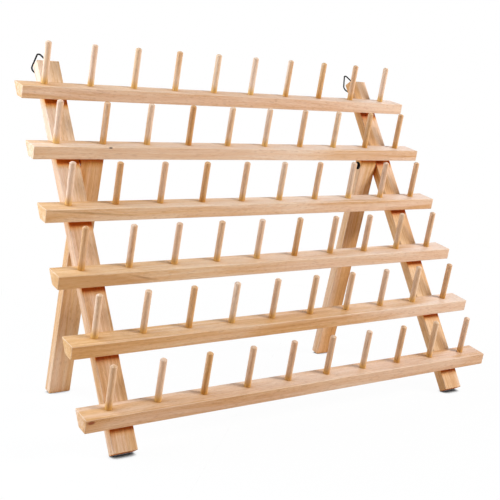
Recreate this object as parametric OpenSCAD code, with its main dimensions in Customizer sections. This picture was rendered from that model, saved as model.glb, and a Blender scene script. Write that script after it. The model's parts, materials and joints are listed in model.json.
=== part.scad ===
// Folding thread rack: six tilted shelves of spool pins on two leaning front legs,
// held up by two rear legs that swing out until they meet the shelf above their pivots.
// The front legs lean back by the angle at which both pairs of feet meet the floor.

/* [Pins] */
// Number of spool pins on each shelf
pin_count = 10; // [4:1:14]
// Distance between neighbouring pins along a shelf
pin_pitch = 40; // [30:0.5:60]
// Diameter of a spool pin
pin_d = 5.2; // [4:0.1:6.5]
// Height of a pin's tip above the top of its shelf
pin_height = 34.6; // [20:0.1:40]
// Height of the domed tip
pin_dome = 1.3; // [0.6:0.1:1.9]
// Depth of a pin's socket in its shelf
pin_depth = 6; // [3:0.1:7.5]
// Step from a pin in to its tenon
tenon_step = 0.3; // [0.2:0.05:0.6]
// Height of the tenon's shoulder above the top of its shelf
shoulder_up = 0.2; // [0.1:0.05:0.5]

/* [Shelves] */
// Distance between neighbouring shelves along the legs
row_pitch = 52.4; // [48:0.1:60]
// Thickness of a shelf
shelf_h = 10.2; // [9:0.1:10.6]
// Distance from the pin line to the front edge of a shelf's top
shelf_front = 11; // [7:0.1:20]
// Distance from the pin line to the back edge of a shelf's top
shelf_back = 8.2; // [7.8:0.1:12]
// Distance from the end pin to the end of a shelf
shelf_end = 22; // [10:0.5:40]
// Angle between the pins and the front legs
shelf_tilt = 41; // [38:0.5:43]

/* [Front legs] */
// Width of a leg
leg_w = 19.4; // [15:0.1:26]
// Thickness of a leg
leg_t = 8.8; // [8.4:0.1:9.4]
// Length of a front leg below the lowest pin line
leg_foot = 31; // [25:0.5:45]
// Length of a front leg above the highest pin line
leg_top = 25.6; // [24:0.1:45]
// Distance from the left end of a shelf to the left front leg
left_inset = 22.5; // [15:0.5:60]
// Distance from the right end of a shelf to the right front leg
right_inset = 27.5; // [15:0.5:60]

/* [Rear legs] */
// Length of a rear leg from its pivot to its foot
rear_reach = 204.9; // [190:0.1:212]
// Distance from the pin line of the shelf above down to the pivot
pivot_drop = 14.1; // [13.6:0.1:18]
// Distance from the front of the front legs back to the pivot
pivot_back = 4.8; // [4.75:0.05:5.6]
// Angle between the front and rear legs when they are open
leg_spread = 43.8; // [43.2:0.1:48]
// Sideways gap between a front leg and its rear leg
leg_gap = 0.7; // [0.5:0.05:2]

/* [Pivot screws] */
// Shank diameter of a pivot screw
pivot_d = 4; // [3:0.1:5]
// Head diameter of a pivot screw
pivot_head_d = 7.4; // [6:0.1:7.8]
// Depth of a pivot screw's head below the side of its rear leg
pivot_sink = 0.3; // [0.2:0.05:0.6]
// Depth of a pivot screw in its front leg
pivot_depth = 13; // [8:0.5:14]
// Diameter of the washer between the legs
washer_d = 8.4; // [7:0.1:8.8]

/* [Shelf screws] */
// Shank diameter of a shelf screw
shelf_screw_d = 3; // [2:0.1:3.5]
// Head diameter of a shelf screw
shelf_screw_head = 5.6; // [4.5:0.1:7]
// Length of a shelf screw
shelf_screw_l = 15; // [12:0.1:15.5]
// Height of a shelf screw above the lower back edge of its shelf, along the leg
shelf_screw_up = 3.5; // [3:0.1:4.2]

/* [Hangers] */
// Diameter of the ring's wire
wire_d = 1.5; // [1:0.1:2]
// Distance from the base of the ring to its pointed top, before rounding
ring_h = 24.2; // [22:0.1:30]
// Width of the ring's base, before rounding
ring_w = 27.5; // [27:0.1:34]
// Bend radius at the ring's two lower corners
ring_corner = 5.2; // [3:0.1:5.4]
// Bend radius at the ring's top
ring_peak = 2; // [1.5:0.1:3]
// Distance from the top of a front leg down to the ring's base
ring_drop = 7.5; // [5:0.1:10]
// Angle by which a ring stands back from its leg
ring_lean = 11.5; // [0:0.5:40]
// Thickness of the strap's sheet
strap_t = 0.6; // [0.4:0.05:1]
// Width of the strap
strap_w = 8; // [6:0.1:8.2]
// Length of the strap below the ring's base
strap_l = 12; // [10:0.1:13]
// Distance from the ring's base down to the strap's screw
strap_screw_drop = 6.6; // [5.6:0.1:7]
// Shank diameter of the strap's screw
strap_screw_d = 2.4; // [1.8:0.1:3]
// Head diameter of the strap's screw
strap_screw_head = 5; // [4:0.1:5.6]
// Head height of the strap's screw
strap_screw_head_h = 1.6; // [1.2:0.1:2]
// Length of the strap's screw under its head
strap_screw_l = 7.5; // [5:0.1:8]

/* [Fits] */
// Radial gap round a glued or driven piece
glue_gap = 0.05; // [0.02:0.01:0.1]
// Radial gap round a turning piece
turn_gap = 0.08; // [0.03:0.01:0.1]
// Gap between faces that slide past or stop against each other
face_gap = 0.2; // [0.1:0.05:0.3]
// Width of the cross slot in a screw's head
slot_w = 0.8; // [0.5:0.1:1]
// Depth of the cross slot in a screw's head
slot_depth = 0.8; // [0.4:0.1:1]
// Distance from the ends of the cross slot to the rim of a screw's head
slot_rim = 1.1; // [0.9:0.1:1.4]

/* [Hidden] */
$fn = 64;
SIDES = ["left", "right"];
shelf_count = 6;

beech = "#E3BF9C";
black_steel = "#1C1B1A";
bright_steel = "#B9BABC";

// Pin: its tenon fills the socket and its shoulder covers the socket's rim
tenon_d = pin_d - 2 * tenon_step;

// Shelf section: its slanted back lies flat on the legs
shelf_l = (pin_count - 1) * pin_pitch + 2 * shelf_end;
pin_stand_off = shelf_back * cos(shelf_tilt);
shelf_foot_back = shelf_back - shelf_h * tan(shelf_tilt);
shelf_lower_edge = shelf_back * sin(shelf_tilt) - shelf_h / cos(shelf_tilt);

// Leg lengths and the pivot, measured up the front legs from their feet
leg_l = leg_foot + (shelf_count - 1) * row_pitch + leg_top;
pivot_row = shelf_count - 1;
pivot_up = row_up(pivot_row) - pivot_drop;
pivot_l = leg_w - pivot_sink + leg_gap + pivot_depth;

// The rear leg's top end stops just short of the lower back edge of the shelf above
stop_up = pivot_drop + shelf_lower_edge;
rear_top = pivot_back * sin(leg_spread) + stop_up * cos(leg_spread) - face_gap;

// Lean of the front legs, from the line through the edges that meet the floor
rear_foot_back = pivot_back + rear_reach * sin(leg_spread) - leg_t / 2 * cos(leg_spread);
rear_foot_up = pivot_up - rear_reach * cos(leg_spread) - leg_t / 2 * sin(leg_spread);
lean = atan2(rear_foot_up, rear_foot_back - leg_t);

// Hanger ring: a triangle of wire with rounded corners, hinged in its strap
strap_r = wire_d / 2 + turn_gap + strap_t;
ring_slope = atan2(ring_h, ring_w / 2);
ring_run = ring_w / 2 - ring_corner / tan(ring_slope / 2);
ring_peak_up = ring_h - ring_peak / cos(ring_slope);
ring_base_up = leg_l - ring_drop;
wire_swell = 0.03;

// Front and back reach along Y, so that the origin lies under the middle of the rack
shelf_front_y = floor_y(
    -pin_stand_off - shelf_front * cos(shelf_tilt),
    leg_foot - shelf_front * sin(shelf_tilt));
dome_foot = pin_height - pin_dome;
pin_front_y = floor_y(
    -pin_stand_off - dome_foot * sin(shelf_tilt) - pin_d / 2 * cos(shelf_tilt),
    leg_foot + dome_foot * cos(shelf_tilt) - pin_d / 2 * sin(shelf_tilt));
rear_foot_y = floor_y(rear_foot_back + leg_t * cos(leg_spread), rear_foot_up + leg_t * sin(leg_spread));
ring_reach = ring_peak_up + ring_peak;
ring_back_y = floor_y(leg_t + strap_r, ring_base_up) + ring_reach * sin(lean + ring_lean) + wire_d / 2;
front_y = min(shelf_front_y, pin_front_y, floor_y(0, 0));
back_y = max(rear_foot_y, ring_back_y, floor_y(leg_t, leg_l));
middle_y = (front_y + back_y) / 2;

// Y on the floor of a point given by its distances behind the legs' front and up the legs
function floor_y(behind, up) = behind * cos(lean) + up * sin(lean);
// Height up the legs of a row's pin line
function row_up(row) = leg_foot + (row - 1) * row_pitch;
// Centre line of a front leg
function leg_x(side) =
    side == "left" ? -shelf_l / 2 + left_inset + leg_w / 2 : shelf_l / 2 - right_inset - leg_w / 2;
// Radius of the sphere that caps a rod of radius r with a dome of height h
function dome_r(r, h) = (r * r + h * h) / (2 * h);

// Legs' frame: Y runs back from the front of the front legs and Z up along them
module stand() {
    translate([0, -middle_y, leg_t * sin(lean)]) rotate([-lean, 0, 0]) children();
}

// One front leg's frame: X runs inwards from its centre line
module at_leg(side) {
    translate([leg_x(side), 0, 0]) mirror([side == "left" ? 0 : 1, 0, 0]) children();
}

// One shelf's frame: the origin is on its pin line and Z runs along the pins
module at_row(row) {
    translate([0, -pin_stand_off, row_up(row)]) rotate([shelf_tilt, 0, 0]) children();
}

// One rear leg's frame: the origin is at the pivot and Z runs up along the leg
module at_pivot() {
    translate([leg_w + leg_gap, pivot_back, pivot_up]) rotate([leg_spread, 0, 0]) children();
}

// Frame of a screw driven forwards from the back of a leg
module from_back(behind, up) {
    translate([0, behind, up]) rotate([90, 0, 0]) children();
}

// Frame of the pivot screw: Z runs outwards from the top of its head
module at_pivot_head() {
    translate([leg_w / 2 + leg_gap + leg_w - pivot_sink, pivot_back, pivot_up])
        rotate([0, -90, 0]) children();
}

// Round rod along Z with a domed end
module domed_rod(d, l, dome) {
    cylinder(d = d, h = l - dome);
    translate([0, 0, l - dome]) intersection() {
        cylinder(d = d, h = dome);
        translate([0, 0, dome - dome_r(d / 2, dome)]) sphere(r = dome_r(d / 2, dome));
    }
}

// Cross slot cut into a head whose top is at Z = 0
module cross_slot(head_d) {
    for (turn = [0, 90])
        rotate([0, 0, turn])
            translate([0, 0, slot_depth / 2])
                cube([slot_w, head_d - 2 * slot_rim, slot_depth], center = true);
}

// Screw with a domed head above Z = 0 and its shank below
module pan_screw(d, l, head_d, head_h) {
    difference() {
        mirror([0, 0, 1]) domed_rod(head_d, head_h, head_h / 2);
        translate([0, 0, -head_h]) cross_slot(head_d);
    }
    cylinder(d = d, h = l - d / 2);
    translate([0, 0, l - d / 2]) cylinder(d1 = d, d2 = slot_w, h = d / 2);
}

// Hole for a countersunk screw, with its head's top at Z = 0
module sunk_hole(d, l, head_d, gap) {
    cylinder(d1 = head_d + 2 * gap, d2 = d + 2 * gap, h = (head_d - d) / 2);
    cylinder(d = d + 2 * gap, h = l + gap);
}

// Countersunk screw with its head's top at Z = 0
module flat_screw(d, l, head_d) {
    difference() {
        sunk_hole(d, l, head_d, 0);
        cross_slot(head_d);
    }
}

// Hole for a shelf's screw through the leg into the shelf
module shelf_screw_hole(row) {
    from_back(leg_t, shelf_screw_z(row))
        sunk_hole(shelf_screw_d, shelf_screw_l, shelf_screw_head, glue_gap);
}

// Height up the leg of a shelf's screw
function shelf_screw_z(row) = row_up(row) + shelf_lower_edge + shelf_screw_up;

// Straight stretch of the ring's wire in the XZ plane, with a slight swelling where it meets each bend
module wire_run(x0, z0, x1, z1) {
    run = norm([x1 - x0, z1 - z0]);
    translate([x0, 0, z0]) rotate([0, atan2(x1 - x0, z1 - z0), 0]) {
        translate([0, 0, wire_swell]) cylinder(d = wire_d, h = run - 2 * wire_swell);
        for (end = [0, run])
            translate([0, 0, end]) sphere(d = wire_d + 2 * wire_swell);
    }
}

// Bent stretch of the ring's wire in the XZ plane
module wire_bend(x, z, radius, from, sweep) {
    translate([x, 0, z])
        rotate([90, 0, 0])
            rotate([0, 0, from])
                rotate_extrude(angle = sweep)
                    translate([radius, 0]) circle(d = wire_d);
}

module front_leg(side) {
    color(beech) stand() at_leg(side) difference() {
        translate([-leg_w / 2, 0, 0]) cube([leg_w, leg_t, leg_l]);
        for (row = [1 : shelf_count])
            shelf_screw_hole(row);
        at_pivot_head() sunk_hole(pivot_d, pivot_l, pivot_head_d, glue_gap);
        from_back(leg_t, ring_base_up - strap_screw_drop)
            cylinder(d = strap_screw_d + 2 * glue_gap, h = strap_screw_l - 2 * strap_t + glue_gap);
    }
}

// The top end is square behind the pivot and round before it, to clear the shelf as the leg folds
module rear_leg(side) {
    color(beech) stand() at_leg(side) at_pivot() difference() {
        translate([-leg_w / 2, -leg_t / 2, -rear_reach]) cube([leg_w, leg_t, rear_reach + rear_top]);
        difference() {
            translate([-leg_w, -leg_t, 0]) cube([2 * leg_w, leg_t, rear_top + leg_t]);
            rotate([0, 90, 0]) cylinder(r = rear_top, h = 3 * leg_w, center = true);
        }
        translate([leg_w / 2 - pivot_sink, 0, 0]) {
            rotate([0, -90, 0]) sunk_hole(pivot_d, 2 * leg_w, pivot_head_d, turn_gap);
            rotate([0, 90, 0]) cylinder(d = pivot_head_d + 2 * turn_gap, h = 2 * pivot_sink);
        }
    }
}

module shelf(row) {
    color(beech) stand() difference() {
        at_row(row) rotate([90, 0, 90]) linear_extrude(height = shelf_l, center = true) polygon([
            [-shelf_front, 0],
            [-shelf_front, -shelf_h],
            [shelf_foot_back, -shelf_h],
            [shelf_back, 0]
        ]);
        at_row(row) each_pin() cylinder(d = tenon_d + 2 * glue_gap, h = 2 * pin_depth);
        for (side = SIDES)
            at_leg(side) shelf_screw_hole(row);
    }
}

// Foot of each pin in its socket, along a shelf
module each_pin() {
    for (i = [0 : pin_count - 1])
        translate([(i - (pin_count - 1) / 2) * pin_pitch, 0, -pin_depth]) children();
}

module pins(row) {
    color(beech) stand() at_row(row) each_pin() {
        cylinder(d = tenon_d, h = pin_depth + shoulder_up);
        translate([0, 0, pin_depth + shoulder_up]) domed_rod(pin_d, pin_height - shoulder_up, pin_dome);
    }
}

module shelf_screws(side) {
    color(bright_steel) stand() at_leg(side)
        for (row = [1 : shelf_count])
            from_back(leg_t, shelf_screw_z(row))
                flat_screw(shelf_screw_d, shelf_screw_l, shelf_screw_head);
}

module pivot_screw(side) {
    color(black_steel) stand() at_leg(side) at_pivot_head()
        flat_screw(pivot_d, pivot_l, pivot_head_d);
}

module pivot_washer(side) {
    color(bright_steel) stand() at_leg(side)
        translate([leg_w / 2, pivot_back, pivot_up]) rotate([0, 90, 0]) difference() {
            cylinder(d = washer_d, h = leg_gap - face_gap);
            translate([0, 0, -leg_gap]) cylinder(d = pivot_d + 2 * turn_gap, h = 3 * leg_gap);
        }
}

// Strip of sheet folded round the ring's base, with both of its tails under the screw
module hanger_strap(side) {
    color(black_steel) stand() at_leg(side) translate([0, leg_t, ring_base_up]) difference() {
        union() {
            translate([0, strap_r, 0]) rotate([0, 90, 0]) cylinder(r = strap_r, h = strap_w, center = true);
            translate([-strap_w / 2, 0, -strap_l]) cube([strap_w, 2 * strap_t, strap_l]);
        }
        translate([0, strap_r, 0]) rotate([0, 90, 0])
            cylinder(d = wire_d + 2 * turn_gap, h = 2 * strap_w, center = true);
        from_back(3 * strap_t, -strap_screw_drop)
            cylinder(d = strap_screw_d + 2 * glue_gap, h = 4 * strap_t);
    }
}

module strap_screw(side) {
    color(black_steel) stand() at_leg(side)
        from_back(leg_t + 2 * strap_t, ring_base_up - strap_screw_drop)
            pan_screw(strap_screw_d, strap_screw_l, strap_screw_head, strap_screw_head_h);
}

module hanger_ring(side) {
    bend = 180 - ring_slope;
    corner_x = ring_run + ring_corner * sin(ring_slope);
    corner_z = ring_corner * (1 + cos(ring_slope));
    peak_x = ring_peak * sin(ring_slope);
    peak_z = ring_peak_up + ring_peak * cos(ring_slope);
    color(black_steel) stand() at_leg(side)
        translate([0, leg_t + strap_r, ring_base_up]) rotate([-ring_lean, 0, 0]) {
            wire_run(-ring_run, 0, ring_run, 0);
            wire_bend(ring_run, ring_corner, ring_corner, -90, bend);
            wire_bend(-ring_run, ring_corner, ring_corner, -90 - bend, bend);
            wire_run(corner_x, corner_z, peak_x, peak_z);
            wire_run(-corner_x, corner_z, -peak_x, peak_z);
            wire_bend(0, ring_peak_up, ring_peak, 90 - ring_slope, 2 * ring_slope);
        }
}

for (side = SIDES) {
    front_leg(side);
    rear_leg(side);
    shelf_screws(side);
    pivot_screw(side);
    pivot_washer(side);
    hanger_strap(side);
    strap_screw(side);
    hanger_ring(side);
}
for (row = [1 : shelf_count]) {
    shelf(row);
    pins(row);
}
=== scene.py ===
import json
import math

import bmesh
import bpy
from mathutils import Matrix, Vector


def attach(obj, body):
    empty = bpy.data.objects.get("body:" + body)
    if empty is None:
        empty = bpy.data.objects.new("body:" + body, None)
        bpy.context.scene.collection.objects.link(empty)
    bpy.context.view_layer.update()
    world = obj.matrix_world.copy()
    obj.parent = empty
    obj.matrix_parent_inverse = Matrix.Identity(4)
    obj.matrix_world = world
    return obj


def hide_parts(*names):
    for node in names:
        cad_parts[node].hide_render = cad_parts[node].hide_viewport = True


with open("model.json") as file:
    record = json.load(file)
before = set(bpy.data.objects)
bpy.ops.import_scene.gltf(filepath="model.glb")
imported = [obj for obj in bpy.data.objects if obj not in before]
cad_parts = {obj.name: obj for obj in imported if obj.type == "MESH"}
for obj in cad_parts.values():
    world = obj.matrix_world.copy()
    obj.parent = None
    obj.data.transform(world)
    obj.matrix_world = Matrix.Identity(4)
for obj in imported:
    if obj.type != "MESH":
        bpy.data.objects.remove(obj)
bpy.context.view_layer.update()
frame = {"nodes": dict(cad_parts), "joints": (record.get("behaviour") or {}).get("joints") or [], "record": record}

# Front legs: two planed beech bars that lean back and carry every shelf.
# They are sawn square at both ends and drilled from behind for the shelf screws. Sandpaper has
# eased their edges, which leaves a paler line along each corner.
leg_lean = math.radians(29.3)
sanded_radius = 0.0006
sanded_steps = 3
shortest_sanded_edge = 0.006
sharp_corner = math.radians(30)
crisp_edge = math.radians(40)
flat_seam = math.radians(1)
same_point = 1e-6


def closed_copy(node):
    """One closed mesh with whole flat faces, in a node's shape."""
    shape = bmesh.new()
    shape.from_mesh(frame["nodes"][node].data)
    bmesh.ops.remove_doubles(shape, verts=shape.verts, dist=same_point)
    bmesh.ops.dissolve_limit(shape, angle_limit=flat_seam, verts=shape.verts, edges=shape.edges)
    return shape


def sand_edges(shape):
    """Rounds a board's long edges and marks the sanded line in the attribute eased."""
    long_edges = [
        edge for edge in shape.edges
        if edge.calc_length() > shortest_sanded_edge and edge.calc_face_angle(0) > sharp_corner
    ]
    sanded = bmesh.ops.bevel(
        shape, geom=long_edges, offset=sanded_radius, offset_type="OFFSET", affect="EDGES",
        segments=sanded_steps, profile=0.5, material=-1,
    )
    round_faces = set(sanded["faces"])
    eased = shape.verts.layers.float.new("eased")
    for corner in shape.verts:
        corner[eased] = float(all(face in round_faces for face in corner.link_faces))


def board_layers(shape):
    """Attributes that tell one board from another."""
    return {name: shape.verts.layers.float.new(name) for name in ("board", "honey")}


def number_board(corners, layers, number, honey, fade=0.0):
    """Gives a board its own cut of the tree and its hue, which may fade to the right; the fade is painted shade.
    """
    middle = sum(corner.co.x for corner in corners) / len(corners)
    for corner in corners:
        corner[layers["board"]] = number
        corner[layers["honey"]] = honey - fade * (corner.co.x - middle)


def put_in_order(parts, place):
    """Sorts a shape's parts by their place, so that every run lists them alike."""
    for rank, part in enumerate(sorted(parts, key=place)):
        part.index = rank
    parts.sort()


def show_piece(shape, name, material, body, slot, *nodes):
    """Turns a finished shape into a piece that rides on its body and stands for its nodes."""
    for face in shape.faces:
        face.smooth = True
    for edge in shape.edges:
        edge.smooth = edge.calc_face_angle(0) < crisp_edge
    put_in_order(shape.verts, lambda corner: corner.co[:])
    put_in_order(shape.faces, lambda face: face.calc_center_median()[:])
    mesh = bpy.data.meshes.new(name)
    shape.to_mesh(mesh)
    shape.free()
    mesh.materials.append(material)
    piece = bpy.data.objects.new(name, mesh)
    bpy.context.scene.collection.objects.link(piece)
    flat = piece.modifiers.new("flat_faces", "WEIGHTED_NORMAL")
    flat.keep_sharp = True
    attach(piece, body)
    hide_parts(*nodes)


def show_board(node, material, body, **cut):
    """Sands a copy of a bar, gives it its cut and shows it in the bar's place."""
    board = closed_copy(node)
    sand_edges(board)
    number_board(board.verts, board_layers(board), **cut)
    show_piece(board, node + "_bar", material, body, "beech", node)


def srgb(code):
    """Linear colour of a hex code."""
    shares = [int(code[start:start + 2], 16) / 255 for start in (1, 3, 5)]
    linear = [
        share / 12.92 if share <= 0.04045 else ((share + 0.055) / 1.055) ** 2.4 for share in shares
    ]
    return linear + [1.0]


def add_node(tree, kind, inputs, **settings):
    """One shader node, with each input set to a value or joined to another node's output."""
    node = tree.nodes.new(kind)
    for name, value in settings.items():
        setattr(node, name, value)
    for place, value in inputs.items():
        if isinstance(value, bpy.types.NodeSocket):
            tree.links.new(value, node.inputs[place])
        else:
            node.inputs[place].default_value = value
    return node


def vector_math(tree, operation, *values):
    """Outputs of one step of arithmetic on vectors."""
    inputs = dict(enumerate(values))
    return add_node(tree, "ShaderNodeVectorMath", inputs, operation=operation).outputs


def blend_in(tree, share, value, base):
    """Adds a share of a value to a base value."""
    inputs = {0: value, 1: share, 2: base}
    return add_node(tree, "ShaderNodeMath", inputs, operation="MULTIPLY_ADD").outputs[0]


def spread(tree, value, low, high, start=0.0, end=1.0, **settings):
    """Spreads a stretch of a value over another range."""
    inputs = {"Value": value, "From Min": low, "From Max": high, "To Min": start, "To Max": end}
    return add_node(tree, "ShaderNodeMapRange", inputs, **settings).outputs[0]


def mix_colour(tree, share, base, added, **settings):
    """Lays a share of one colour over another."""
    factor, under, over, mixed = 0, 6, 7, 2
    inputs = {factor: share, under: base, over: added}
    return add_node(tree, "ShaderNodeMix", inputs, data_type="RGBA", **settings).outputs[mixed]


def cloud(tree, vector, detail, scale=1.0, bend=0.0):
    """Outputs of soft noise over a vector."""
    inputs = {"Vector": vector, "Scale": scale, "Detail": detail, "Distortion": bend}
    return add_node(tree, "ShaderNodeTexNoise", inputs).outputs


finish_sockets = {"Color": "Color", "Roughness": "Float", "Height": "Float"}


def new_finish(name, inputs):
    """An empty node group for a surface's finish, and what is given to it."""
    tree = bpy.data.node_groups.new(name, "ShaderNodeTree")
    for in_out, sockets in (("INPUT", inputs), ("OUTPUT", finish_sockets)):
        for socket, kind in sockets.items():
            tree.interface.new_socket(socket, in_out=in_out, socket_type="NodeSocket" + kind)
    return tree, add_node(tree, "NodeGroupInput", {}).outputs


# Marks of the wood: counts per metre across and along the grain, then detail and bend of the noise
grain_counts = {
    "rings": (60, 2, 2, 0.4),
    "streaks": (520, 7, 3, 0.0),
    "fine": (1700, 150, 2, 0.0),
    "patches": (22, 5, 1, 0.0),
    "flecks": (1300, 230, 0, 0.0),
    "heartwood": (30, 3, 1, 0.0),
    "hue": (260, 6, 1, 0.0),
}
board_scatter = (5, 5, 5)
sway_counts = (30, 30, 8)
sway_detail = 1.0
sway_reach = (0.008, 0.008, 0)
middle_grey = (0.5, 0.5, 0.5)
ring_turns = 110.0
latewood_wave = (0.1, 1.0)
fleck_noise = (0.61, 0.73)
heartwood_noise = (0.55, 0.62)
honey_base = -0.8
honey_shares = {"hue": 1.6, "heartwood": 0.7, "board_honey": 1.0}
tone_base = -0.29
tone_shares = {
    "latewood": -0.08, "heartwood": -0.12, "honey": -0.13, "streaks": 0.55,
    "fine": 0.36, "patches": 0.75, "board_tone": 0.1,
}
relief_shares = {"fine": 0.6, "latewood": -0.16, "flecks": -0.5}
tone_stops = (0.1, 0.35, 0.55, 0.85)
pink_beech = ("#C99465", "#DEB492", "#ECCDB4", "#F7E6D6")
honey_beech = ("#BC8142", "#D6A46A", "#E6BF91", "#F4DDC1")
fleck_brown = "#96592A"
fleck_share = 0.22
sanded_pale = "#F6E2CC"
sanded_share = 0.3
dark_and_pale = (0.2, 0.8)
wood_roughness = (0.56, 0.7)


def make_beech_grain():
    """Sawn beech along Z: wavy fibres, latewood lines, ray flecks, and pink and honey streaks."""
    tree, given = new_finish(
        "beech_grain", {"Vector": "Vector", "Board": "Float", "Honey": "Float", "Eased": "Float"},
    )
    scatter = add_node(
        tree, "ShaderNodeTexWhiteNoise", {"W": given["Board"]}, noise_dimensions="1D",
    ).outputs
    cut = vector_math(tree, "MULTIPLY_ADD", scatter["Color"], board_scatter, given["Vector"])[0]
    wander = cloud(tree, vector_math(tree, "MULTIPLY", cut, sway_counts)[0], sway_detail)
    sway = vector_math(tree, "SUBTRACT", wander["Color"], middle_grey)[0]
    swayed = vector_math(tree, "MULTIPLY_ADD", sway, sway_reach, cut)[0]
    marks = {"board_tone": scatter["Value"], "board_honey": given["Honey"]}
    for mark, (across, along, detail, bend) in grain_counts.items():
        stretched = vector_math(tree, "MULTIPLY", swayed, (across, across, along))[0]
        marks[mark] = cloud(tree, stretched, detail, bend=bend)[0]

    def weigh(shares, base):
        """Adds up shares of the marks."""
        for mark, share in shares.items():
            base = blend_in(tree, share, marks[mark], base)
        return base

    ring_phase = blend_in(tree, ring_turns, marks["rings"], 0.0)
    ring_wave = add_node(tree, "ShaderNodeMath", {0: ring_phase}, operation="SINE").outputs[0]
    marks["latewood"] = spread(tree, ring_wave, *latewood_wave)
    marks["flecks"] = spread(tree, marks["flecks"], *fleck_noise)
    marks["heartwood"] = spread(tree, marks["heartwood"], *heartwood_noise)
    marks["honey"] = spread(tree, weigh(honey_shares, honey_base), 0.0, 1.0)
    tone = weigh(tone_shares, tone_base)

    def wood_tones(codes):
        """Colours from dark to pale wood."""
        ramp = add_node(tree, "ShaderNodeValToRGB", {"Fac": tone})
        stops = ramp.color_ramp.elements
        stops[0].position = tone_stops[0]
        stops[-1].position = tone_stops[-1]
        for position in tone_stops[1:-1]:
            stops.new(position)
        for stop, code in zip(stops, codes):
            stop.color = srgb(code)
        return ramp.outputs["Color"]

    bare = mix_colour(tree, marks["honey"], wood_tones(pink_beech), wood_tones(honey_beech))
    flecks = blend_in(tree, fleck_share, marks["flecks"], 0.0)
    flecked = mix_colour(tree, flecks, bare, srgb(fleck_brown))
    eased = blend_in(tree, sanded_share, given["Eased"], 0.0)
    sanded = mix_colour(tree, eased, flecked, srgb(sanded_pale))
    dryness = spread(tree, tone, *dark_and_pale, *wood_roughness)
    relief = weigh(relief_shares, 0.0)
    add_node(tree, "NodeGroupOutput", {"Color": sanded, "Roughness": dryness, "Height": relief})
    return tree


beech_grain = make_beech_grain()
pores = {"Strength": 0.35, "Distance": 0.0001}
wood_gloss = 0.5


def new_material(name):
    """A material with its node tree and its place on the piece."""
    material = bpy.data.materials.new(name)
    material.use_nodes = True
    tree = material.node_tree
    return material, tree, add_node(tree, "ShaderNodeTexCoord", {}).outputs["Object"]


def feed_shader(tree, colour, finish, bump, specular):
    """Gives a material's shader its colour, and the roughness and relief of its finish."""
    shader = tree.nodes["Principled BSDF"].inputs
    relief = add_node(tree, "ShaderNodeBump", {**bump, "Height": finish["Height"]})
    tree.links.new(colour, shader["Base Color"])
    tree.links.new(finish["Roughness"], shader["Roughness"])
    tree.links.new(relief.outputs[0], shader["Normal"])
    shader["Specular IOR Level"].default_value = specular


# Painted shade: colour darkened and warmed close to another part, by how much of the sky is open there
painted_shade_rays = 16
golden_painted_shade = {"painted_shade_colour": "#EEC400", "open": 0.92, "closed": 0.5, "share": 0.8}
red_painted_shade_core = {"painted_shade_colour": "#FFB450", "open": 0.56, "closed": 0.4, "share": 0.9}
corner_painted_shade = {"painted_shade_colour": "#E0C874", "open": 0.92, "closed": 0.5, "share": 0.8}
foot_painted_shade = {"painted_shade_colour": "#EACB50", "open": 0.92, "closed": 0.5, "share": 0.8}
painted_shade_under_shelf = {"painted_shades": (golden_painted_shade, red_painted_shade_core), "reach": 0.009, "lift": 0.7}
painted_shade_in_corner = {"painted_shades": (corner_painted_shade,), "reach": 0.009, "lift": 0.0}
painted_shade_at_foot = {"painted_shades": (foot_painted_shade,), "reach": 0.010, "lift": -0.3}


def beech_material(name, turn, painted_shade):
    """Bare beech whose grain runs along Z once turned, with painted shade that darkens and warms it close to other
    parts.
    """
    material, tree, place = new_material(name)
    along = add_node(tree, "ShaderNodeMapping", {"Vector": place, "Rotation": turn})
    inputs = {"Vector": along.outputs[0]}
    for layer in ("board", "honey", "eased"):
        kept = add_node(tree, "ShaderNodeAttribute", {}, attribute_name=layer)
        inputs[layer.title()] = kept.outputs["Fac"]
    grain = add_node(tree, "ShaderNodeGroup", inputs, node_tree=beech_grain).outputs
    facing = add_node(tree, "ShaderNodeNewGeometry", {}).outputs["Normal"]
    lifted = vector_math(tree, "ADD", facing, (0, 0, painted_shade["lift"]))[0]
    skywards = vector_math(tree, "NORMALIZE", lifted)[0]
    open_sky = add_node(
        tree, "ShaderNodeAmbientOcclusion",
        {"Distance": painted_shade["reach"], "Normal": skywards}, samples=painted_shade_rays,
    ).outputs["AO"]
    colour = grain["Color"]
    # Each shade multiplies the grain's colour by its tint: painted shade where little sky is open
    for shade in painted_shade["painted_shades"]:
        share = spread(tree, open_sky, shade["closed"], shade["open"], shade["share"], 0.0)
        colour = mix_colour(tree, share, colour, srgb(shade["painted_shade_colour"]), blend_type="MULTIPLY")
    feed_shader(tree, colour, grain, pores, wood_gloss)
    return material


sides = ("left", "right")
# The fade turns each front leg more honey towards the inside of the rack: painted shade.
front_leg_cuts = {
    "left": {"number": 1, "honey": 0.55, "fade": -45.0},
    "right": {"number": 2, "honey": 0.75, "fade": 60.0},
}
front_leg_beech = beech_material("front_leg_beech", (leg_lean, 0, 0), painted_shade_under_shelf)
for side in sides:
    show_board(side + "_front_leg", front_leg_beech, "rack", **front_leg_cuts[side])

# Rear legs: two bars of the same beech stock inside the front legs, hinged near their tops.
# The top end is rounded at the front so that the leg folds past the shelf above its pivot.
rear_leg_lean = math.radians(-14.5)
# Their deep honey is partly their own hue and partly painted shade; the fade that turns them more honey to the
# right is painted shade.
rear_leg_cuts = {
    "left": {"number": 3, "honey": 0.7, "fade": -45.0},
    "right": {"number": 4, "honey": 0.7, "fade": -45.0},
}
rear_leg_beech = beech_material("rear_leg_beech", (rear_leg_lean, 0, 0), painted_shade_under_shelf)
for side in sides:
    show_board(side + "_rear_leg", rear_leg_beech, side + "_rear", **rear_leg_cuts[side])
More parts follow.
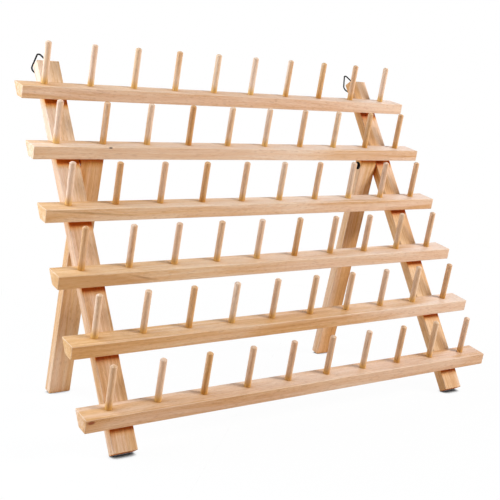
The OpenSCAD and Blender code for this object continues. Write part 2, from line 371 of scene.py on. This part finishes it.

# Shelves: six long beech bars, each bevelled along its back so that it lies flat on the legs
# while its top tips forwards. Ten sockets are drilled down the middle for the pins. Four shelves
# show a dark speck, a bark pocket or brown heartwood that runs slantwise.
shelf_tip = math.radians(-11.7)
along_shelf = math.radians(-90)
# Honey and fade of each shelf: its own hue, deepened as painted shade on the middle rows and towards the left end.
shelf_cuts = [
    {"number": 11, "honey": 0.1, "fade": 2.0},
    {"number": 12, "honey": 0.4, "fade": 4.0},
    {"number": 13, "honey": 0.45, "fade": 4.5},
    {"number": 14, "honey": 0.3, "fade": 3.0},
    {"number": 15, "honey": 0.1, "fade": 2.0},
    {"number": 16, "honey": 0.05, "fade": 2.0},
]
shelf_marks = {
    "dark_speck": {
        "at": (-0.1379, 0.014, 0.2144), "size": (0.002, 0.0015, 0.0009),
        "slant": 0.0, "colour": "#2A1608", "share": 0.9, "core": 0.5,
    },
    "bark_pocket": {
        "at": (-0.1978, -0.0883, 0.03), "size": (0.0036, 0.002, 0.0017),
        "slant": 0.0, "colour": "#8A3A08", "share": 0.9, "core": 0.5,
    },
    "long_streak": {
        "at": (-0.166, -0.0112, 0.1659), "size": (0.045, 0.02, 0.0012),
        "slant": 4.6, "colour": "#A06C32", "share": 0.55, "core": 0.1,
    },
    "heartwood": {
        "at": (-0.172, -0.0365, 0.1165), "size": (0.055, 0.02, 0.0085),
        "slant": 5.0, "colour": "#C08A4C", "share": 0.5, "core": 0.7,
    },
    "heartwood_edge": {
        "at": (-0.132, -0.0364, 0.1183), "size": (0.017, 0.02, 0.0012),
        "slant": 13.3, "colour": "#9C662E", "share": 0.6, "core": 0.1,
    },
}


def stain(material, mark):
    """Lays a darker spot or streak over a material's colour."""
    tree = material.node_tree
    base = tree.nodes["Principled BSDF"].inputs["Base Color"]
    place = add_node(tree, "ShaderNodeTexCoord", {}).outputs["Object"]
    slant = (0, math.radians(mark["slant"]), 0)
    slanted = add_node(
        tree, "ShaderNodeMapping",
        {"Vector": place, "Location": mark["at"], "Rotation": slant, "Scale": mark["size"]},
        vector_type="TEXTURE",
    )
    distance = vector_math(tree, "LENGTH", slanted.outputs[0])["Value"]
    share = spread(tree, distance, mark["core"], 1.0, mark["share"], 0.0)
    stained = mix_colour(tree, share, base.links[0].from_socket, srgb(mark["colour"]))
    tree.links.new(stained, base)


shelf_beech = beech_material("shelf_beech", (shelf_tip, along_shelf, 0), painted_shade_in_corner)
for mark in shelf_marks.values():
    stain(shelf_beech, mark)
for row, cut in enumerate(shelf_cuts, 1):
    show_board("shelf_%d" % row, shelf_beech, "rack", **cut)

# Spool pins: turned beech dowels with domed tips, glued upright into the shelves.
# Each comes from another length of dowel, so their tone differs a little from pin to pin.
pin_radius = 0.0026
pin_straight = 0.0331
pin_dome = 0.0013
dome_steps = 6
pin_sides = 24
pins_per_row = 10
shoulder_up = 0.0002
tenon_radius = 0.0023
tenon_depth = 0.006
pin_pitch = 0.04
pin_lean = math.radians(11.7)
pin_honey = 0.6
golden_step = 0.618
first_pin_number = 30
pin_beech = beech_material("pin_beech", (-pin_lean, 0, 0), painted_shade_at_foot)
mounts = {mount["name"]: mount for mount in frame["record"]["mounts"]}


def parts_of(geometry, kind):
    """The parts of one kind in a mixed list of vertices, edges and faces."""
    return [part for part in geometry if isinstance(part, kind)]


def turn_dowel(shape):
    """Turns one closed dowel on its axis, from its tenon to the top of its dome."""
    dome_radius = (pin_radius ** 2 + pin_dome ** 2) / (2 * pin_dome)
    dome_foot = shoulder_up + pin_straight
    outline = [(0.0, -tenon_depth), (tenon_radius, -tenon_depth), (tenon_radius, shoulder_up)]
    outline += [(pin_radius, shoulder_up), (pin_radius, dome_foot)]
    for step in range(1, dome_steps):
        out = pin_radius * (1 - step / dome_steps)
        rise = math.sqrt(dome_radius ** 2 - out ** 2) - dome_radius + pin_dome
        outline.append((out, dome_foot + rise))
    outline.append((0.0, dome_foot + pin_dome))
    points = [shape.verts.new((out, 0, up)) for out, up in outline]
    edges = [shape.edges.new(pair) for pair in zip(points, points[1:])]
    bmesh.ops.spin(
        shape, geom=points + edges, cent=(0, 0, 0), axis=(0, 0, 1), angle=math.tau,
        steps=pin_sides, use_merge=True,
    )
    bmesh.ops.remove_doubles(shape, verts=shape.verts, dist=same_point)
    bmesh.ops.recalc_face_normals(shape, faces=shape.faces)


number = first_pin_number
for row in range(1, len(shelf_cuts) + 1):
    first = mounts["spool_pin_row_%d" % row]
    middle = shoulder_up + pin_straight / 2
    foot = Vector(first["pos_m"]) - Vector(first["axis"]) * middle
    dowels = bmesh.new()
    layers = board_layers(dowels)
    turn_dowel(dowels)
    in_socket = Matrix.Translation(foot) @ Matrix.Rotation(pin_lean, 4, "X")
    bmesh.ops.transform(dowels, matrix=in_socket, verts=dowels.verts)
    pin = dowels.verts[:] + dowels.edges[:] + dowels.faces[:]
    for place in range(pins_per_row):
        if place > 0:
            pin = bmesh.ops.duplicate(dowels, geom=pin)["geom"]
        corners = parts_of(pin, bmesh.types.BMVert)
        if place > 0:
            bmesh.ops.translate(dowels, vec=(pin_pitch, 0, 0), verts=corners)
        number_board(corners, layers, number, pin_honey * (number * golden_step % 1.0))
        number += 1
    show_piece(dowels, "pins_%d_dowels" % row, pin_beech, "rack", "beech", "pins_%d" % row)

# Shelf screws: zinc-plated countersunk screws, one through each front leg into each shelf.
# They are driven from behind until their heads lie flush.
cloud_scale = 900.0
cloud_detail = 3.0
worn_clouds = (0.5, 0.7)
grit_scale = 5200.0
grit_detail = 1.0
smooth_and_rough_grit = (0.3, 0.7)
dents = {"Strength": 0.15, "Distance": 0.00004}


def make_metal_wear():
    """Faint cloudy patches and fine scratches on plated or blackened steel."""
    tree, given = new_finish("metal_wear", {
        "Vector": "Vector", "Clean": "Color", "Worn": "Color", "Smooth": "Float", "Rough": "Float",
    })
    clouds = cloud(tree, given["Vector"], cloud_detail, cloud_scale)[0]
    grit = cloud(tree, given["Vector"], grit_detail, grit_scale)[0]
    worn = spread(tree, clouds, *worn_clouds)
    colour = mix_colour(tree, worn, given["Clean"], given["Worn"])
    gloss = spread(tree, grit, *smooth_and_rough_grit, given["Smooth"], given["Rough"])
    add_node(tree, "NodeGroupOutput", {"Color": colour, "Roughness": gloss, "Height": grit})
    return tree


metal_wear = make_metal_wear()


def steel_material(name, finish, metallic, specular):
    """Steel with a thin finish that is a little worn."""
    material, tree, place = new_material(name)
    inputs = {"Vector": place, **finish}
    wear = add_node(tree, "ShaderNodeGroup", inputs, node_tree=metal_wear).outputs
    feed_shader(tree, wear["Color"], wear, dents, specular)
    tree.nodes["Principled BSDF"].inputs["Metallic"].default_value = metallic
    return material


zinc_finish = {"Clean": srgb("#B9BABC"), "Worn": srgb("#8E8D88"), "Smooth": 0.28, "Rough": 0.5}
zinc_steel = steel_material("zinc_steel", zinc_finish, metallic=1.0, specular=0.5)
for side in sides:
    node = side + "_shelf_screws"
    show_piece(closed_copy(node), node + "_heads", zinc_steel, "rack", "bright_steel", node)

# Pivot screws and washers: a blackened countersunk screw, flush with the inner side of each
# rear leg, is driven into the front leg. A thin plated washer keeps the two legs apart.
black_finish = {"Clean": srgb("#080706"), "Worn": srgb("#1A1714"), "Smooth": 0.55, "Rough": 0.75}
black_steel = steel_material("black_steel", black_finish, metallic=0.0, specular=0.05)
for side in sides:
    node = side + "_pivot_screw"
    show_piece(closed_copy(node), node + "_body", black_steel, "rack", "black_steel", node)
    node = side + "_pivot_washer"
    show_piece(closed_copy(node), node + "_disc", zinc_steel, "rack", "bright_steel", node)

# Hanger straps: a strip of blackened sheet with rounded ends, folded round the ring's base.
# One round-head screw goes through both tails and pinches them to the back of the leg.
strap_width = 0.008
strap_length = 0.012
strap_sheet = 0.00058
strap_seam = 0.00004
loop_radius = 0.00143
loop_steps = 20
fold_back = 0.0005
fold_steps = 8
tail_corner = 0.0022
tail_corner_steps = 6
hole_drop = 0.0066
hole_radius = 0.00125
hole_patch = 0.0016
hole_sides = 16
quarter_turn = math.radians(90)
joints = {joint["name"]: joint for joint in frame["joints"]}


def draw(shape, edges, step):
    """Draws the open end of a strip or wire straight on."""
    drawn = bmesh.ops.extrude_edge_only(shape, edges=edges)["geom"]
    corners = parts_of(drawn, bmesh.types.BMVert)
    bmesh.ops.translate(shape, vec=step, verts=corners)
    new_edges = parts_of(drawn, bmesh.types.BMEdge)
    return [edge for edge in new_edges if all(corner in corners for corner in edge.verts)]


def bend(shape, edges, centre, axis, angle, steps):
    """Bends the open end of a strip or wire round a centre."""
    corners = list(dict.fromkeys(corner for edge in edges for corner in edge.verts))
    bent = bmesh.ops.spin(
        shape, geom=corners + edges, cent=centre, axis=axis, angle=angle, steps=steps,
    )["geom_last"]
    return parts_of(bent, bmesh.types.BMEdge)


def open_circle(shape, sides_round, radius, facing):
    """Edges of a new circle that no face fills."""
    circle = bmesh.ops.create_circle(
        shape, cap_ends=False, segments=sides_round, radius=radius, matrix=facing,
    )
    return list(dict.fromkeys(edge for corner in circle["verts"] for edge in corner.link_edges))


def punch(strap, centre):
    """Punches a round hole in the flat patch round its centre."""
    patch = min(strap.faces, key=lambda face: (face.calc_center_median() - centre).length)
    rim = list(patch.edges)
    bmesh.ops.delete(strap, geom=[patch], context="FACES_ONLY")
    facing = Matrix.Translation(centre) @ Matrix.Rotation(quarter_turn, 4, "X")
    hole = open_circle(strap, hole_sides, hole_radius, facing)
    bmesh.ops.bridge_loops(strap, edges=rim + hole)


def fold_strap():
    """Folds the inner face of the strip up the leg, over the wire and down on itself."""
    wire_bore = loop_radius - strap_sheet
    elbow = fold_back + strap_sheet
    back_tail = strap_sheet + strap_seam
    past_wire = math.acos((back_tail + elbow - loop_radius) / (wire_bore + elbow))
    elbow_out = back_tail + elbow
    elbow_down = (wire_bore + elbow) * math.sin(past_wire)
    half_width = strap_width / 2
    strap = bmesh.new()
    ends = [strap.verts.new((x, strap_sheet, -strap_length)) for x in (-half_width, half_width)]
    end = [strap.edges.new(ends)]
    end = draw(strap, end, Vector((0, 0, strap_length)))
    end = bend(strap, end, (0, loop_radius, 0), (-1, 0, 0), math.pi + past_wire, loop_steps)
    end = bend(strap, end, (0, elbow_out, -elbow_down), (1, 0, 0), past_wire, fold_steps)
    end = draw(strap, end, Vector((0, 0, elbow_down - strap_length)))
    tips = ends + [corner for edge in end for corner in edge.verts]
    bmesh.ops.bevel(
        strap, geom=tips, offset=tail_corner, offset_type="OFFSET", affect="VERTICES",
        segments=tail_corner_steps, profile=0.5, material=-1,
    )
    middle = Vector((0, strap_sheet, -hole_drop))
    for across in (Vector((1, 0, 0)), Vector((0, 0, 1))):
        for shift in (-hole_patch, hole_patch):
            bmesh.ops.bisect_plane(
                strap, geom=strap.verts[:] + strap.edges[:] + strap.faces[:],
                plane_co=middle + shift * across, plane_no=across,
            )
    punch(strap, middle)
    punch(strap, middle + Vector((0, strap_seam, 0)))
    bmesh.ops.recalc_face_normals(strap, faces=strap.faces)
    bmesh.ops.solidify(strap, geom=strap.faces[:], thickness=-strap_sheet)
    bmesh.ops.recalc_face_normals(strap, faces=strap.faces)
    return strap


for side in sides:
    strap = fold_strap()
    base = Vector(joints[side + "_ring_swing"]["pos_m"])
    on_leg = Matrix.Translation(base) @ Matrix.Rotation(-leg_lean, 4, "X")
    round_wire = on_leg @ Matrix.Translation((0, -loop_radius, 0))
    bmesh.ops.transform(strap, matrix=round_wire, verts=strap.verts)
    node = side + "_hanger_strap"
    show_piece(strap, node + "_metal", black_steel, "rack", "black_steel", node)
    node = side + "_strap_screw"
    show_piece(closed_copy(node), node + "_metal", black_steel, "rack", "black_steel", node)

# Hanger rings: dark wire bent into a triangle with rounded corners, free to swing in its strap.
# The rack hangs by them when its rear legs are folded in.
wire_radius = 0.00068
wire_sides = 16
ring_height = 0.0242
ring_width = 0.0275
corner_radius = 0.0052
corner_steps = 12
peak_radius = 0.002
peak_steps = 8
mirror_seam = 1e-5
ring_lean = math.radians(11.5)


def bend_ring():
    """Draws the wire along the right half of the ring, bend by bend, and mirrors it."""
    slope = math.atan2(ring_height, ring_width / 2)
    run = ring_width / 2 - corner_radius / math.tan(slope / 2)
    peak_up = ring_height - peak_radius / math.cos(slope)
    out = math.sin(slope)
    up = math.cos(slope)
    corner_end = Vector((run + corner_radius * out, 0, corner_radius * (1 + up)))
    peak_start = Vector((peak_radius * out, 0, peak_up + peak_radius * up))
    ring = bmesh.new()
    end = open_circle(ring, wire_sides, wire_radius, Matrix.Rotation(quarter_turn, 4, "Y"))
    end = draw(ring, end, Vector((run, 0, 0)))
    end = bend(ring, end, (run, 0, corner_radius), (0, -1, 0), math.pi - slope, corner_steps)
    end = draw(ring, end, peak_start - corner_end)
    bend(ring, end, (0, 0, peak_up), (0, -1, 0), slope, peak_steps)
    half = ring.verts[:] + ring.edges[:] + ring.faces[:]
    bmesh.ops.mirror(ring, geom=half, axis="X", merge_dist=mirror_seam)
    bmesh.ops.remove_doubles(ring, verts=ring.verts, dist=same_point)
    bmesh.ops.recalc_face_normals(ring, faces=ring.faces)
    return ring


for side in sides:
    ring = bend_ring()
    base = Vector(joints[side + "_ring_swing"]["pos_m"])
    lean_back = Matrix.Rotation(-leg_lean - ring_lean, 4, "X")
    bmesh.ops.transform(ring, matrix=Matrix.Translation(base) @ lean_back, verts=ring.verts)
    node = side + "_hanger_ring"
    show_piece(ring, node + "_wire", black_steel, side + "_ring", "black_steel", node)

# Floor: a white sheet that fades to plain white away from the rack. It keeps the rack's soft
# shadow, and a painted contact shadow dims its glow right where the feet touch it.
floor_reach = 30.0
paper_white = (0.9, 0.9, 0.9, 1.0)
warm_bounce = (0.62, 0.45, 0.29, 1.0)
plain_white = (1.0, 1.0, 1.0, 1.0)
contact_reach = 0.008
contact_rays = 8
contact_sky = (0.2, 0.65)
fade_distance = (0.2, 0.5)
fade_share = (0.965, 1.0)
floor_shape = bmesh.new()
bmesh.ops.create_grid(floor_shape, x_segments=1, y_segments=1, size=floor_reach)
floor_mesh = bpy.data.meshes.new("floor")
floor_shape.to_mesh(floor_mesh)
floor_shape.free()
floor = bpy.data.objects.new("floor", floor_mesh)
bpy.context.scene.collection.objects.link(floor)


def seen_directly(tree):
    """One where the camera sees a surface, also through glass or gloss, and zero elsewhere."""
    rays = add_node(tree, "ShaderNodeLightPath", {}).outputs
    seen = rays["Is Camera Ray"]
    for ray in ("Is Glossy Ray", "Is Transmission Ray"):
        inputs = {0: seen, 1: rays[ray]}
        seen = add_node(tree, "ShaderNodeMath", inputs, operation="MAXIMUM").outputs[0]
    return seen


def mix_shaders(tree, share, first, second):
    """Mixes two shaders by the share of the second."""
    inputs = {0: share, 1: first.outputs[0], 2: second.outputs[0]}
    return add_node(tree, "ShaderNodeMixShader", inputs)


paper, tree, place = new_material("white_paper")
tree.nodes.remove(tree.nodes["Principled BSDF"])
shaded = add_node(tree, "ShaderNodeBsdfDiffuse", {"Color": paper_white})
bounce = add_node(tree, "ShaderNodeBsdfDiffuse", {"Color": warm_bounce})
# Painted contact shadow: the white glow dims where the rack closes in over the floor
nearby = add_node(
    tree, "ShaderNodeAmbientOcclusion", {"Distance": contact_reach}, samples=contact_rays,
).outputs["AO"]
painted_contact_shadow = spread(tree, nearby, *contact_sky)
glow = add_node(tree, "ShaderNodeEmission", {"Color": plain_white, "Strength": painted_contact_shadow})
distance = vector_math(tree, "LENGTH", place)["Value"]
fade = spread(tree, distance, *fade_distance, *fade_share, interpolation_type="SMOOTHSTEP")
white = mix_shaders(tree, fade, shaded, glow)
sheet = mix_shaders(tree, seen_directly(tree), bounce, white)
tree.links.new(sheet.outputs[0], tree.nodes["Material Output"].inputs["Surface"])
floor_mesh.materials.append(paper)

# Light: softboxes at the left, at the right of the front and behind, as in a small light tent.
# Little light comes from the room itself, which looks plain white to the camera.
daylight = (0.75, 0.865, 1.0)
white_light = (1.0, 1.0, 1.0)
warm_walls = (1.0, 0.75, 0.5, 1.0)
wall_light = 0.06
rack_middle = Vector((0, 0, 0.15))
# Each softbox's place, its width and height, its power and its colour
softboxes = {
    "left_high_softbox": ((-0.55, 0.05, 0.75), (0.4, 0.4), 1.0, white_light),
    "left_back_softbox": ((-0.6, 0.4, 0.6), (0.45, 0.45), 4.6, daylight),
    "left_softbox": ((-0.8, 0.02, 0.4), (0.4, 0.4), 3.6, daylight),
    "right_front_softbox": ((1.0, -1.0, 0.85), (0.7, 0.35), 22.5, white_light),
    "right_back_softbox": ((1.1, 0.7, 0.6), (0.5, 0.5), 4.9, daylight),
}
for name, (spot, (width, height), power, colour) in softboxes.items():
    lamp = bpy.data.lights.new(name, "AREA")
    lamp.color = colour
    lamp.shape = "RECTANGLE"
    lamp.size = width
    lamp.size_y = height
    lamp.energy = power
    softbox = bpy.data.objects.new(name, lamp)
    softbox.location = spot
    softbox.rotation_euler = (rack_middle - Vector(spot)).to_track_quat("-Z", "Y").to_euler()
    bpy.context.scene.collection.objects.link(softbox)

room = bpy.data.worlds.new("room")
room.use_nodes = True
bpy.context.scene.world = room
tree = room.node_tree
walls = tree.nodes["Background"]
walls.inputs["Color"].default_value = warm_walls
walls.inputs["Strength"].default_value = wall_light
backdrop = add_node(tree, "ShaderNodeBackground", {"Color": plain_white, "Strength": 1.0})
seen_room = mix_shaders(tree, seen_directly(tree), walls, backdrop)
tree.links.new(seen_room.outputs[0], tree.nodes["World Output"].inputs["Surface"])
bpy.context.scene.view_settings.view_transform = "Standard"

# Camera: a longish lens in front of the rack's left end, a little above its middle.
# Its shift keeps the rack in the frame while the camera looks nearly level.
camera_turn = (84.3749, -2.5894, -35.3887)
lens = bpy.data.cameras.new("camera")
lens.sensor_width = 36.0
lens.lens = 68.2
lens.shift_x = -0.01857
lens.shift_y = -0.10309
camera = bpy.data.objects.new("camera", lens)
camera.location = (-0.479509, -0.667688, 0.253577)
camera.rotation_euler = [math.radians(turn) for turn in camera_turn]
bpy.context.scene.collection.objects.link(camera)
bpy.context.scene.camera = camera
